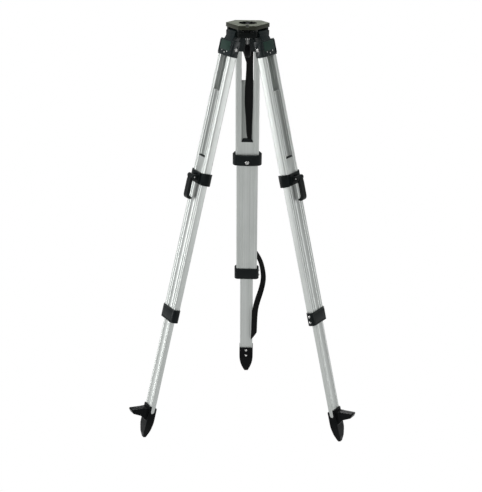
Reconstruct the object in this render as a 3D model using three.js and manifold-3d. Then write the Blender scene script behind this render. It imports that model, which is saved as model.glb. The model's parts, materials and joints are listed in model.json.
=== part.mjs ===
// Surveyor tripod: an aluminium head on three telescopic legs of three sections each.
// Millimetres, +Z up. The origin is the centre of the head's top face, on the tripod's axis.
// The three legs are alike. The rear leg points along +Y and the others are turned by a third of a circle.

import * as THREE from "three";
import { mergeVertices } from "three/addons/utils/BufferGeometryUtils.js";
import Module from "manifold-3d";

const wasm = await Module();
wasm.setup();

// ---------------------------------------------------------------- driving dimensions

const SPLAY = THREE.MathUtils.degToRad(13.7); // each leg's lean away from the vertical
const GAP = 0.3; // clearance between pieces that rest on each other
const LEG_TURNS = { rear: 0, left: 120, right: -120 }; // degrees about the tripod's axis

// Head: a truncated triangle in plan, short sides at its corners and a leg under each long side.
const HEAD = { cornerR: 60, shortSide: 53, plateT: 12, blockH: 36, ledgeZ: -22, waist: 3, boreR: 28, wellR: 34 };
const HINGE = { r: 43, z: -31, boltR: 3, boltL: 78, knuckleR: 15, knuckleW: 48 };
const ARM = { pivotY: -48, w: 18, top: -12.5, t: 6, slotW: 12.6, slotL: 32, bossR: 14, shankR: 3, sleeveEnd: -50 };
const ARM_RECESS_W = 34; // opening in the front corner block that the arm swings in
const STEM_R = 4.5;
const THREAD_R = 7.9; // outside radius of the fixing screw's thread
const THREAD_L = 11.5;
const KNOB = { top: -67, r: 10.5, h: 36, flutes: 8 };

// Leg stations, measured down the leg from its hinge axis. The leg's own frame has its origin on that
// axis: x runs along the axis, y points outward and z points up the leg.
const LEG_Y = 9.2; // the tubes' centre plane, outward of the hinge axis
const SHOULDER = { top: 18, bottom: 66, wall: 2, boltAt: 43, boltY: 7 };
const UPPER_TUBE = { top: 27, bottom: 452, w: 75, d: 23.8, wall: 1.2, r: 4.5 };
const MIDDLE_TUBE = { top: 172, bottom: 888, w: 69, d: 20.8, wall: 1.5, r: 3.5 };
const LOWER_TUBE = { top: 560, bottom: 1228, w: 43, d: 17, wall: 1.8, r: 3 };
const WINDOW = { w: 38, bottom: 377 };
const CHANNEL = { w: 45.4, webT: 1.7, grooveX: 23.5, grooveW: 1.2, grooveD: 0.5 };
const CLAMP = { at: 441, w: 93.5, outerW: 82, wall: 2.8, h: 37, r: 12, dip: 2 };
const CLAMP_PAD = { w: 50, t: 4, h: 32 }; // raised block on the clamp's outer face that the cheeks stand on
const LOWER_COLLAR = { at: 878.5, w: 82, innerWall: 1.8, outerWall: 3.6, h: 41, r: 6, screwSpacing: 18 };
const LEVER = { pivotY: 31, w: 22, camR: 8, camOffset: 1.2, armIn: 0, armOut: 10, length: 70, pinR: 2 };
const CHEEK = { t: 6, r: 7.5 };
const SHOE = { w: 13.4, h: 13.4 };
const FOOT = { w: 47, d: 25, outerTop: 1184, innerTop: 1190, openingEnd: 1208, taperAt: 1230, tip: 1294 };
const STEP = { reach: 69, w: 29, endTop: 1200, rootTop: 1191, endT: 13 };
const RIVETS_AT = [1199, 1221];

// Straps, in the rear leg's frame.
const TIE_STRAP = { w: 25, t: 1.5, top: 68, bottom: 371, x: 5 };
const CARRY_STRAP = { w: 20, t: 2.2 };

// ---------------------------------------------------------------- materials

const paint = (name, color, roughness, metalness) =>
  Object.assign(new THREE.MeshStandardMaterial({ color, roughness, metalness }), { name });

const ALUMINIUM = paint("leg_aluminium", 0xb4b7b3, 0.42, 0.9);
const PLATE_METAL = paint("head_metal", 0x7f8678, 0.5, 0.6);
const BLACK_PLASTIC = paint("black_plastic", 0x1b2022, 0.5, 0.0);
const BLACK_CAST = paint("black_cast", 0x15181a, 0.55, 0.2);
const BRIGHT_STEEL = paint("bright_steel", 0xc9ccce, 0.3, 1.0);
const WEBBING = paint("webbing", 0x101214, 0.85, 0.0);

// ---------------------------------------------------------------- solids

// A closed three.js geometry as a manifold solid.
function solid(geometry) {
  const bare = geometry.clone();
  bare.deleteAttribute("normal");
  bare.deleteAttribute("uv");
  const merged = mergeVertices(bare, 1e-4);
  return new wasm.Manifold(
    new wasm.Mesh({
      numProp: 3,
      vertProperties: merged.attributes.position.array,
      triVerts: new Uint32Array(merged.index.array),
    }),
  );
}

// A manifold solid back as a three.js geometry.
function geometryOf(body) {
  const { vertProperties, triVerts } = body.getMesh();
  const geometry = new THREE.BufferGeometry();
  geometry.setAttribute("position", new THREE.BufferAttribute(vertProperties, 3));
  geometry.setIndex(new THREE.BufferAttribute(triVerts, 1));
  const flat = geometry.toNonIndexed();
  flat.computeVertexNormals();
  return flat;
}

const join = (...bodies) => bodies.reduce((sum, body) => sum.add(body));
const cut = (body, ...tools) => tools.reduce((left, tool) => left.subtract(tool), body);

function box(w, d, h, x = 0, y = 0, z = 0) {
  return solid(new THREE.BoxGeometry(w, d, h).translate(x, y, z));
}

// A cylinder centred on a point, its axis along x, y or z.
function rod(axis, r, length, x = 0, y = 0, z = 0, sides = 16) {
  const geometry = new THREE.CylinderGeometry(r, r, length, sides);
  if (axis === "x") geometry.rotateZ(Math.PI / 2);
  if (axis === "z") geometry.rotateX(Math.PI / 2);
  return solid(geometry.translate(x, y, z));
}

// A body of revolution about +Z from (radius, height) pairs that start and end on the axis, going up.
function turned(profile, sides = 20) {
  const points = profile.map(([r, z]) => new THREE.Vector2(r, z));
  return solid(new THREE.LatheGeometry(points, sides).rotateX(Math.PI / 2));
}

function roundedRectangle(w, d, r) {
  const shape = new THREE.Shape();
  const [x, y] = [w / 2, d / 2];
  shape.moveTo(x, -y + r);
  shape.absarc(x - r, y - r, r, 0, Math.PI / 2);
  shape.absarc(-x + r, y - r, r, Math.PI / 2, Math.PI);
  shape.absarc(-x + r, -y + r, r, Math.PI, 1.5 * Math.PI);
  shape.absarc(x - r, -y + r, r, 1.5 * Math.PI, 2 * Math.PI);
  return shape;
}

function polygon(points) {
  return new THREE.Shape(points.map(([x, y]) => new THREE.Vector2(x, y)));
}

// A plan shape raised from z = bottom to z = top.
function raised(shape, bottom, top, segments = 2) {
  const geometry = new THREE.ExtrudeGeometry(shape, {
    depth: top - bottom,
    bevelEnabled: false,
    curveSegments: segments,
  });
  return solid(geometry.translate(0, 0, bottom));
}

// A side profile, drawn in the leg's own outward-and-up plane, made w wide along the hinge axis.
function sideways(shape, w, segments = 4) {
  const geometry = new THREE.ExtrudeGeometry(shape, {
    depth: w,
    bevelEnabled: false,
    curveSegments: segments,
  });
  geometry.translate(0, 0, -w / 2);
  geometry.applyMatrix4(new THREE.Matrix4().set(0, 0, 1, 0, 1, 0, 0, 0, 0, 1, 0, 0, 0, 0, 0, 1));
  return solid(geometry);
}

const prism = (w, d, r, bottom, top) => raised(roundedRectangle(w, d, r), bottom, top);

// A screw along +Z: a low dome head standing on z = 0 and a shank below it.
function screw(headR, headH, shankR, shankL) {
  return turned([
    [0, -shankL],
    [shankR, -shankL],
    [shankR, 0],
    [headR, 0],
    [headR, headH * 0.4],
    [headR * 0.7, headH * 0.85],
    [0, headH],
  ], 12);
}

function piece(name, body, material) {
  const mesh = new THREE.Mesh(geometryOf(body), material.clone());
  mesh.name = name;
  mesh.castShadow = true;
  return mesh;
}

// ---------------------------------------------------------------- head

// The head's plan, from the distance of its short sides and their length.
function headPlan(cornerR, shortSide) {
  const points = [];
  for (const turn of [-90, 30, 150]) {
    const angle = THREE.MathUtils.degToRad(turn);
    const out = new THREE.Vector2(Math.cos(angle), Math.sin(angle));
    const along = new THREE.Vector2(-out.y, out.x);
    for (const end of [-0.5, 0.5]) {
      points.push(out.clone().multiplyScalar(cornerR).addScaledVector(along, end * shortSide));
    }
  }
  return new THREE.Shape(points);
}

function headCasting() {
  const plan = headPlan(HEAD.cornerR, HEAD.shortSide);
  const waist = headPlan(HEAD.cornerR - HEAD.waist, HEAD.shortSide - HEAD.waist);
  const block = headPlan(HEAD.cornerR - 0.5, HEAD.shortSide - 1);
  let casting = join(
    raised(plan, -HEAD.plateT, 0),
    raised(waist, HEAD.ledgeZ - 1, 1 - HEAD.plateT),
    raised(block, -HEAD.blockH, HEAD.ledgeZ),
  );
  const well = rod("z", HEAD.wellR, HEAD.blockH, 0, 0, -HEAD.plateT - HEAD.blockH / 2, 32);
  const recess = box(ARM_RECESS_W, 40, 7.5, 0, -HEAD.cornerR + 17, -HEAD.plateT - 3.75);
  const screwHole = rod("z", ARM.shankR + GAP, 60, 0, ARM.pivotY, 0, 16);
  const seatEnd = box(8, 20, 8, 0, ARM.pivotY - 10, 0);
  const screwSeat = join(rod("z", 5.6, 8, 0, ARM.pivotY, 0, 20), seatEnd);
  casting = cut(casting, rod("z", HEAD.boreR, 40, 0, 0, 0, 40), well, recess, screwHole, screwSeat);
  for (const turn of Object.values(LEG_TURNS)) {
    const pocket = box(HINGE.knuckleW + 2, 60, 60, 0, HINGE.r + 13, -HEAD.plateT - 30);
    const bore = rod("x", HINGE.boltR + GAP, HINGE.boltL + 2 * GAP, 0, HINGE.r, HINGE.z, 12);
    casting = cut(casting, join(pocket, bore).rotate([0, 0, turn]));
  }
  return casting;
}

// The swinging arm under the plate: pivoted in the front corner, slotted for the fixing screw's slider.
function swingArm() {
  const bottom = ARM.top - ARM.t;
  const arm = new THREE.Shape();
  const end = ARM.slotL / 2;
  arm.absarc(0, ARM.pivotY, ARM.w / 2, Math.PI, 2 * Math.PI);
  arm.lineTo(ARM.w / 2, -end);
  arm.absarc(0, end - 8, ARM.bossR, 0, Math.PI);
  arm.lineTo(-ARM.w / 2, -end);
  const slot = roundedRectangle(ARM.slotW, ARM.slotL, ARM.slotW / 2 - 0.01);
  const pivotHole = rod("z", ARM.shankR + GAP, 20, 0, ARM.pivotY, bottom, 20);
  return cut(raised(arm, bottom, ARM.top), raised(slot, bottom - 1, ARM.top + 1), pivotHole);
}

function armSlider() {
  const under = ARM.top - ARM.t - GAP;
  const hole = STEM_R + GAP;
  return turned([
    [hole, ARM.sleeveEnd],
    [6.5, ARM.sleeveEnd],
    [6.5, under - 3],
    [10, under - 3],
    [10, under],
    [6, under],
    [6, ARM.top - 0.5],
    [hole, ARM.top - 0.5],
    [hole, ARM.sleeveEnd],
  ]);
}

function liftWasher() {
  const bottom = KNOB.top + GAP;
  return turned([
    [STEM_R + GAP, bottom],
    [8, bottom],
    [8, bottom + 2.5],
    [STEM_R + GAP, bottom + 2.5],
    [STEM_R + GAP, bottom],
  ]);
}

function fixingScrew() {
  const end = KNOB.top - 24;
  return turned([
    [0, end],
    [STEM_R, end],
    [STEM_R, -THREAD_L],
    [THREAD_R, -THREAD_L + 1],
    [THREAD_R, -1],
    [THREAD_R - 1, 0],
    [0, 0],
  ]);
}

function screwKnob() {
  const bottom = KNOB.top - KNOB.h;
  const body = turned([
    [0, bottom],
    [KNOB.r - 5, bottom],
    [KNOB.r - 1, bottom + 4],
    [KNOB.r, bottom + 8],
    [KNOB.r, KNOB.top - 6],
    [KNOB.r - 3, KNOB.top - 1],
    [KNOB.r - 4, KNOB.top],
    [0, KNOB.top],
  ]);
  let knob = body.subtract(rod("z", STEM_R + GAP, 50, 0, 0, KNOB.top + 0.5, 20));
  for (let i = 0; i < KNOB.flutes; i += 1) {
    const flute = rod("z", 2.4, KNOB.h * 2, KNOB.r + 1.2, 0, KNOB.top, 10);
    knob = knob.subtract(flute.rotate([0, 0, (i * 360) / KNOB.flutes]));
  }
  return knob;
}

const armPivotScrew = () => screw(5.2, 2.6, ARM.shankR, 20).translate([0, ARM.pivotY, -4 + GAP]);

// ---------------------------------------------------------------- leg, in its own frame

const hingeBolt = () => rod("x", HINGE.boltR, HINGE.boltL, 0, 0, 0, 12);

// The space a tube takes up in a part that holds it, with clearance all round.
const tubeSpace = ({ w, d }, r, low, high) => prism(w + 2 * GAP, d + 2 * GAP, r, low, high);

// The shoulder: a knuckle on the hinge bolt, running out into a socket over the upper tube's end.
function shoulder() {
  const { top, bottom, wall, boltAt, boltY } = SHOULDER;
  const [w, d] = [UPPER_TUBE.w + 2 * (GAP + wall), UPPER_TUBE.d + 2 * (GAP + wall)];
  const socket = prism(w, d, 5, -bottom, -top).translate([0, LEG_Y, 0]);
  const outer = LEG_Y + d / 2;
  const web = sideways(polygon([
    [-11, -7],
    [LEG_Y - d / 2 + 2, -top - 4],
    [outer - 3, -top - 4],
    [outer - 4, -top],
    [11, 6],
    [0, 4],
  ]), HINGE.knuckleW);
  const pocket = tubeSpace(UPPER_TUBE, 4.8, -bottom - 1, -UPPER_TUBE.top + GAP);
  const ribs = [-1, 1].map((side) => box(1.6, 2.4, bottom - top - 8, side * (w / 2 - 4), outer, -(bottom + top) / 2));
  const body = join(rod("x", HINGE.knuckleR, HINGE.knuckleW, 0, 0, 0, 28), web, socket, ...ribs);
  return cut(
    body,
    pocket.translate([0, LEG_Y, 0]),
    rod("x", HINGE.boltR + GAP, 100, 0, 0, 0, 12),
    rod("x", 3 + GAP, 120, 0, boltY, -boltAt, 16),
  );
}

// Dome-ended bolt through the socket and the tube in it.
function shoulderBolt() {
  const half = UPPER_TUBE.w / 2 + SHOULDER.wall + 2 * GAP;
  const end = screw(5.2, 3, 3, half).rotate([0, 90, 0]).translate([half, 0, 0]);
  const other = screw(5.2, 3, 3, half).rotate([0, -90, 0]).translate([-half, 0, 0]);
  return join(end, other).translate([0, SHOULDER.boltY, -SHOULDER.boltAt]);
}

function tube({ top, bottom, w, d, wall, r }) {
  const inner = prism(w - 2 * wall, d - 2 * wall, r - wall, -bottom - 1, -top + 1);
  return prism(w, d, r, -bottom, -top).subtract(inner).translate([0, LEG_Y, 0]);
}

const shoeOpening = () => box(SHOE.w + 0.6, 20, SHOE.h + 0.6, 0, LEG_Y + 20, -CLAMP.at);

function upperTube() {
  const windowTop = SHOULDER.bottom - 14;
  const window = box(WINDOW.w, 60, WINDOW.bottom - windowTop, 0, LEG_Y, -(WINDOW.bottom + windowTop) / 2);
  const boltHole = rod("x", 3 + GAP, 120, 0, SHOULDER.boltY, -SHOULDER.boltAt, 16);
  return cut(tube(UPPER_TUBE), window, boltHole, shoeOpening());
}

// The middle section: three cells, the centre one a channel that the lower tube slides in.
function middleTube() {
  const { top, bottom, w, d, wall, r } = MIDDLE_TUBE;
  const [height, z] = [bottom - top, -(bottom + top) / 2];
  const cellW = (w - CHANNEL.w) / 2 - wall - CHANNEL.webT;
  const cellX = w / 2 - wall - cellW / 2;
  let body = prism(w, d, r, -bottom, -top).subtract(box(CHANNEL.w, d - 2 * wall, height + 2, 0, 0, z));
  for (const side of [-1, 1]) {
    const cell = box(cellW, d - 2 * wall, height + 2, side * cellX, 0, z);
    body = body.subtract(cell);
    for (const face of [-1, 1]) {
      body = body.subtract(
        box(CHANNEL.grooveW, 2 * CHANNEL.grooveD, height + 2, side * CHANNEL.grooveX, (face * d) / 2, z),
      );
    }
  }
  return body.translate([0, LEG_Y, 0]);
}

function lowerTube() {
  const rivetHoles = RIVETS_AT.map((at) => rod("y", 2 + GAP, 10, 0, LEG_Y - LOWER_TUBE.d / 2, -at, 16));
  return cut(tube(LOWER_TUBE), ...rivetHoles);
}

// The clamp collar on the upper tube's lower end. It is widest round the tube's inner face and tapers to a
// raised pad on the outer face, where two cheeks carry the lever.
function clampCollar() {
  const { at, w, outerW, wall, h, r, dip } = CLAMP;
  const [top, bottom] = [-at + h / 2, -at - h / 2];
  const face = UPPER_TUBE.d / 2 + GAP + wall;
  const plan = new THREE.Shape();
  plan.moveTo(-w / 2, 0);
  plan.absarc(-w / 2 + r, -face + r, r, Math.PI, 1.5 * Math.PI);
  plan.absarc(w / 2 - r, -face + r, r, 1.5 * Math.PI, 2 * Math.PI);
  plan.lineTo(w / 2, 0);
  plan.lineTo(outerW / 2, face - 4);
  plan.lineTo(outerW / 2 - 4, face);
  plan.lineTo(-outerW / 2 + 4, face);
  plan.lineTo(-outerW / 2, face - 4);
  const pocket = tubeSpace(UPPER_TUBE, 4.8, -UPPER_TUBE.bottom - GAP, top + 1);
  const throat = prism(MIDDLE_TUBE.w + 2 * GAP, MIDDLE_TUBE.d + 2 * GAP, 3.8, bottom - 1, top);
  const notchPlan = new THREE.Shape();
  notchPlan.moveTo(w / 2 - 6, 1);
  notchPlan.bezierCurveTo(w / 2 - 10, -dip * 0.4, w / 2 - 12, -dip, w / 2 - 20, -dip);
  notchPlan.lineTo(-w / 2 + 20, -dip);
  notchPlan.bezierCurveTo(-w / 2 + 12, -dip, -w / 2 + 10, -dip * 0.4, -w / 2 + 6, 1);
  const dipTool = raised(notchPlan, -w, w).rotate([90, 0, 0]).translate([0, 0, top]);
  const pad = box(CLAMP_PAD.w, CLAMP_PAD.t + 2, CLAMP_PAD.h, 0, face + CLAMP_PAD.t / 2 - 1, -at);
  const cheeks = [-1, 1].map((side) => {
    const x = side * (LEVER.w / 2 + GAP + CHEEK.t / 2);
    const eye = rod("x", CHEEK.r, CHEEK.t, x, LEVER.pivotY, -at, 28);
    return join(eye, box(CHEEK.t, LEVER.pivotY - face, 2 * CHEEK.r, x, (LEVER.pivotY + face) / 2, -at));
  });
  const body = cut(join(cut(raised(plan, bottom, top, 4), dipTool), pad), pocket, throat);
  const holes = [
    rod("x", LEVER.pinR + GAP, 60, 0, LEVER.pivotY, -at, 16),
    rod("y", 2.5 + GAP, 10, 0, -face, -at - 6, 16),
  ];
  return cut(cut(join(body, ...cheeks), ...holes).translate([0, LEG_Y, 0]), shoeOpening());
}

// The over-centre lever, closed: an eccentric cam, an arm down the leg and a hook for the finger.
function clampLever() {
  const { pivotY, w, camR, camOffset, armIn, armOut, length, pinR } = LEVER;
  const arm = new THREE.Shape();
  arm.moveTo(armOut, -14);
  arm.lineTo(armOut, -length + 14);
  arm.bezierCurveTo(armOut, -length + 4, armOut - 5, -length, armOut - 11, -length);
  arm.lineTo(armIn - 8, -length + 1);
  arm.bezierCurveTo(armIn - 11, -length + 2, armIn - 11, -length + 6, armIn - 8, -length + 7);
  arm.bezierCurveTo(armIn - 3, -length + 8, armIn, -length + 12, armIn, -length + 17);
  arm.lineTo(armIn, -8);
  arm.lineTo(-4, -4);
  arm.lineTo(0, 6.5);
  arm.bezierCurveTo(6, 6, armOut - 0.5, 0, armOut, -14);
  const body = join(sideways(arm, w), rod("x", camR, w, 0, -camOffset, 0, 36));
  return body.subtract(rod("x", pinR + GAP, 40, 0, 0, 0, 16)).translate([0, LEG_Y + pivotY, -CLAMP.at]);
}

function leverPin() {
  const length = LEVER.w + 2 * (GAP + CHEEK.t) + 2;
  return rod("x", LEVER.pinR, length, 0, LEG_Y + LEVER.pivotY, -CLAMP.at, 16);
}

// The shoe that the cam presses through the collar and the tube wall onto the middle tube.
function brakeShoe() {
  const inner = LEG_Y + MIDDLE_TUBE.d / 2 + GAP;
  const outer = LEG_Y + LEVER.pivotY - LEVER.camR - LEVER.camOffset - GAP;
  return box(SHOE.w, outer - inner, SHOE.h, 0, (inner + outer) / 2, -CLAMP.at);
}

function clampScrew() {
  const facing = screw(6.5, 4, 2.5, CLAMP.wall - GAP).rotate([90, 0, 0]);
  return facing.translate([0, LEG_Y - UPPER_TUBE.d / 2 - CLAMP.wall - 2 * GAP, -CLAMP.at - 6]);
}

const collarScrewZ = (row) => -LOWER_COLLAR.at + (row * LOWER_COLLAR.screwSpacing) / 2;

function lowerCollar() {
  const { at, w, innerWall, outerWall, h, r } = LOWER_COLLAR;
  const [top, bottom] = [-at + h / 2, -at - h / 2];
  const d = MIDDLE_TUBE.d + 2 * GAP + innerWall + outerWall;
  const shell = prism(w, d, r, bottom, top).translate([0, (outerWall - innerWall) / 2, 0]);
  const pocket = tubeSpace(MIDDLE_TUBE, 3.8, -MIDDLE_TUBE.bottom - GAP, top + 1);
  const throat = tubeSpace(LOWER_TUBE, 3.3, bottom - 1, top);
  const holes = [-1, 1].map((row) => rod("x", 1.8 + GAP, 10, w / 2, 0, collarScrewZ(row), 16));
  return cut(shell, pocket, throat, ...holes).translate([0, LEG_Y, 0]);
}

function collarScrew(row) {
  const facing = screw(4, 2.4, 1.8, 2.8).rotate([0, 90, 0]);
  return facing.translate([LOWER_COLLAR.w / 2 + GAP, LEG_Y, collarScrewZ(row)]);
}

// The pointed shoe on the lower tube: open at its narrow sides, with a step to press it into the ground.
function foot() {
  const { w, d, outerTop, innerTop, openingEnd, taperAt, tip } = FOOT;
  const side = sideways(polygon([
    [d / 2, -outerTop],
    [-1, -outerTop],
    [-1, -innerTop],
    [-d / 2, -innerTop],
    [-d / 2, -taperAt],
    [-9, -tip + 24],
    [-3.5, -tip],
    [5, -tip],
    [11, -tip + 17],
    [d / 2 + 1, -taperAt - 20],
    [d / 2 + 1, -taperAt],
  ]), w);
  const frontPlan = new THREE.Shape();
  frontPlan.moveTo(-w / 2, -outerTop + 1);
  frontPlan.lineTo(-w / 2, -taperAt);
  frontPlan.bezierCurveTo(-w / 2 + 1, -taperAt - 26, -12.5, -tip + 14, -6, -tip - 0.01);
  frontPlan.lineTo(6, -tip - 0.01);
  frontPlan.bezierCurveTo(12.5, -tip + 14, w / 2 - 1, -taperAt - 26, w / 2, -taperAt);
  frontPlan.lineTo(w / 2, -outerTop + 1);
  const front = raised(frontPlan, -d, d, 5).rotate([90, 0, 0]);
  const rounded = prism(w, d + 2, 5, -tip - 1, -outerTop + 1);
  const cavity = tubeSpace(LOWER_TUBE, 3.3, -LOWER_TUBE.bottom - GAP, -outerTop + 5);
  const openings = join(
    box(w + 10, 13, openingEnd - 6.5 - outerTop + 5, 0, 0, -(openingEnd - 6.5 + outerTop - 5) / 2),
    rod("x", 6.5, w + 10, 0, 0, -openingEnd + 6.5, 24),
  );
  const rivetHoles = RIVETS_AT.map((at) => rod("y", 2 + GAP, 10, 0, -d / 2, -at, 16));
  const shoe = cut(side.intersect(front).intersect(rounded), openings);
  return cut(join(shoe, footStep()), cavity, ...rivetHoles).translate([0, LEG_Y, 0]);
}

function footStep() {
  const root = FOOT.d / 2 - 2;
  const { reach, w, endTop, rootTop, endT } = STEP;
  const profile = sideways(polygon([
    [root, -rootTop],
    [reach - 2, -endTop],
    [reach, -endTop - 2],
    [reach - 8, -endTop - endT],
    [33, -rootTop - 28],
    [18, -rootTop - 38],
    [root, -rootTop - 46],
  ]), w);
  const plan = new THREE.Shape();
  plan.moveTo(w / 2 + 3, root - 5);
  plan.lineTo(w / 2 - 1, 30);
  plan.lineTo(w / 2 - 1, reach - 5);
  plan.quadraticCurveTo(w / 2 - 1.5, reach - 1, w / 2 - 5, reach + 0.5);
  plan.lineTo(-w / 2 + 5, reach + 0.5);
  plan.quadraticCurveTo(-w / 2 + 1.5, reach - 1, -w / 2 + 1, reach - 5);
  plan.lineTo(-w / 2 + 1, 30);
  plan.lineTo(-w / 2 - 3, root - 5);
  return profile.intersect(raised(plan, -FOOT.tip, -FOOT.outerTop));
}

function footRivet(at) {
  const facing = screw(4, 2.2, 2, 4.5).rotate([90, 0, 0]);
  return facing.translate([0, LEG_Y - FOOT.d / 2 - GAP, -at]);
}

// ---------------------------------------------------------------- straps, in the rear leg's frame

function tieStrap() {
  const { w, t, top, bottom, x } = TIE_STRAP;
  const y = LEG_Y - MIDDLE_TUBE.d / 2 - GAP - t / 2;
  return box(w, t, bottom - top, x, y, -(bottom + top) / 2);
}

// The carrying strap: from the middle tube's outer face, clear round the lower collar's side, to the
// lower tube's inner face. Each point is (across, outward of the tubes' centre plane, down the leg).
function carryStrap() {
  const points = [
    [14, 14, 785],
    [34, 15, 815],
    [52, 13, 845],
    [60, 8, 882],
    [54, 2, 925],
    [42, -7, 965],
    [32, -13, 1010],
    [27, -13.5, 1060],
    [25, -13.5, 1110],
    [24, -13, 1160],
  ];
  const places = points.map(([x, y, down]) => new THREE.Vector3(x, LEG_Y + y, -down));
  const path = new THREE.CatmullRomCurve3(places);
  const [halfT, halfW] = [CARRY_STRAP.t / 2, CARRY_STRAP.w / 2];
  const section = polygon([
    [halfT, -halfW],
    [halfT, halfW],
    [-halfT, halfW],
    [-halfT, -halfW],
  ]);
  const geometry = new THREE.ExtrudeGeometry(section, { steps: 24, bevelEnabled: false, extrudePath: path });
  return solid(geometry);
}

// ---------------------------------------------------------------- the assembly

const LEG_PIECES = [
  ["hinge_bolt", hingeBolt(), BRIGHT_STEEL],
  ["shoulder", shoulder(), BLACK_CAST],
  ["shoulder_bolt", shoulderBolt(), BRIGHT_STEEL],
  ["upper_tube", upperTube(), ALUMINIUM],
  ["middle_tube", middleTube(), ALUMINIUM],
  ["lower_tube", lowerTube(), ALUMINIUM],
  ["clamp_collar", clampCollar(), BLACK_PLASTIC],
  ["clamp_lever", clampLever(), BLACK_PLASTIC],
  ["lever_pin", leverPin(), BRIGHT_STEEL],
  ["brake_shoe", brakeShoe(), BLACK_PLASTIC],
  ["clamp_screw", clampScrew(), BRIGHT_STEEL],
  ["lower_collar", lowerCollar(), BLACK_PLASTIC],
  ["collar_screw_upper", collarScrew(1), BRIGHT_STEEL],
  ["collar_screw_lower", collarScrew(-1), BRIGHT_STEEL],
  ["foot", foot(), BLACK_CAST],
  ["foot_rivet_upper", footRivet(RIVETS_AT[0]), BRIGHT_STEEL],
  ["foot_rivet_lower", footRivet(RIVETS_AT[1]), BRIGHT_STEEL],
];

// A frame that holds one leg: turned about the tripod's axis, hung on its hinge and splayed.
function legFrame(turn) {
  const around = new THREE.Group();
  around.rotation.z = THREE.MathUtils.degToRad(turn);
  const hung = new THREE.Group();
  hung.position.set(0, HINGE.r, HINGE.z);
  hung.rotation.x = SPLAY;
  around.add(hung);
  return [around, hung];
}

function head() {
  const group = new THREE.Group();
  group.add(
    piece("head_casting", headCasting(), PLATE_METAL),
    piece("swing_arm", swingArm(), BLACK_CAST),
    piece("arm_pivot_screw", armPivotScrew(), BRIGHT_STEEL),
    piece("arm_slider", armSlider(), BRIGHT_STEEL),
    piece("lift_washer", liftWasher(), BLACK_PLASTIC),
    piece("fixing_screw", fixingScrew(), BRIGHT_STEEL),
    piece("screw_knob", screwKnob(), BLACK_PLASTIC),
  );
  return group;
}

const tripod = new THREE.Group();
tripod.name = "surveyor_tripod";
tripod.add(head());
for (const [side, turn] of Object.entries(LEG_TURNS)) {
  const [around, hung] = legFrame(turn);
  for (const [name, body, material] of LEG_PIECES) {
    hung.add(piece(`${side}_${name}`, body, material));
  }
  if (side === "rear") {
    hung.add(piece("tie_strap", tieStrap(), WEBBING), piece("carry_strap", carryStrap(), WEBBING));
  }
  tripod.add(around);
}

export default tripod;
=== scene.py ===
"""Surveyor tripod: the looks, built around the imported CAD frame.

Every leg piece is modelled once in the leg's own frame (x along the hinge axis, y outward, z up the leg)
and placed on each of the three legs. Lengths are metres; MM turns millimetres into metres.
"""

import json
import math

import bmesh
import bpy
from mathutils import Matrix, Vector


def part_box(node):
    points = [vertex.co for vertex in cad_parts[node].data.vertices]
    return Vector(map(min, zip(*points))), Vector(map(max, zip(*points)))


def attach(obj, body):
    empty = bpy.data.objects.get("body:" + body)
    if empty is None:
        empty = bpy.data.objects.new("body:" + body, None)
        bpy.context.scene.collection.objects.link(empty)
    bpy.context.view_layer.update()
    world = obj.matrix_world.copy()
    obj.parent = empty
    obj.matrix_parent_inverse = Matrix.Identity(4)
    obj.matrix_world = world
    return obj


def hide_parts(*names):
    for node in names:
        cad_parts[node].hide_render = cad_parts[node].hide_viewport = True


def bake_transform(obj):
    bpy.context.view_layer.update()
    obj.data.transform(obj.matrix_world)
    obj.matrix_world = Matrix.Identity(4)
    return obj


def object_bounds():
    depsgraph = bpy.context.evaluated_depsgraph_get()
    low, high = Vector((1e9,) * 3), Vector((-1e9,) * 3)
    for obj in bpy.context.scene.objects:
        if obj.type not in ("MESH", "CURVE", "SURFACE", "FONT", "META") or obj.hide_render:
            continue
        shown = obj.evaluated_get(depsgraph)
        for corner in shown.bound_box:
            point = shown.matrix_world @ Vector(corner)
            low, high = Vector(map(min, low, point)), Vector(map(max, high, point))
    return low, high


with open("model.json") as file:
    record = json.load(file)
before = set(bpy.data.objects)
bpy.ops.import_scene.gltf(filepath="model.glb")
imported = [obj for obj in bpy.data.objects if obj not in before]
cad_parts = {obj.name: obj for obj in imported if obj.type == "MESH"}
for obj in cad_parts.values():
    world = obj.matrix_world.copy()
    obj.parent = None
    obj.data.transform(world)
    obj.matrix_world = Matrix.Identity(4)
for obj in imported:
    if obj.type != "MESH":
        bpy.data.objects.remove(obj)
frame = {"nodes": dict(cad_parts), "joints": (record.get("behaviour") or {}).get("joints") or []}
CAD_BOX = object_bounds()

MM = 0.001
SIDES = ("rear", "left", "right")


# ------------------------------------------------------------------ places taken from the frame

def joint(name):
    return next(j for j in frame["joints"] if j["name"] == name)


def leg_matrix(side):
    """The frame of one leg: its origin on the hinge axis."""
    hinge = joint(f"{side}_leg_hinge")
    across = Vector(hinge["axis"]).normalized()
    up = -Vector(joint(f"{side}_middle_slide")["axis"]).normalized()
    rotation = Matrix((across, up.cross(across), up)).transposed()
    return Matrix.Translation(hinge["pos_m"]) @ rotation.to_4x4()


LEG = {side: leg_matrix(side) for side in SIDES}


def leg_box(node):
    """(lowest, highest corner) of one of the rear leg's CAD nodes in that leg's frame."""
    inverse = LEG["rear"].inverted()
    points = [inverse @ v.co for v in frame["nodes"][node].data.vertices]
    lowest = Vector(min(p[i] for p in points) for i in range(3))
    highest = Vector(max(p[i] for p in points) for i in range(3))
    return lowest, highest


def middle(box):
    return (box[0] + box[1]) / 2


# ------------------------------------------------------------------ mesh helpers

def as_mesh(bm, name):
    mesh = bpy.data.meshes.new(name)
    bmesh.ops.recalc_face_normals(bm, faces=bm.faces)
    bm.to_mesh(mesh)
    bm.free()
    return mesh


def joined(*meshes):
    """One mesh holding several, which stay separate shells."""
    bm = bmesh.new()
    for mesh in meshes:
        bm.from_mesh(mesh)
    return as_mesh(bm, meshes[0].name)


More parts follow.
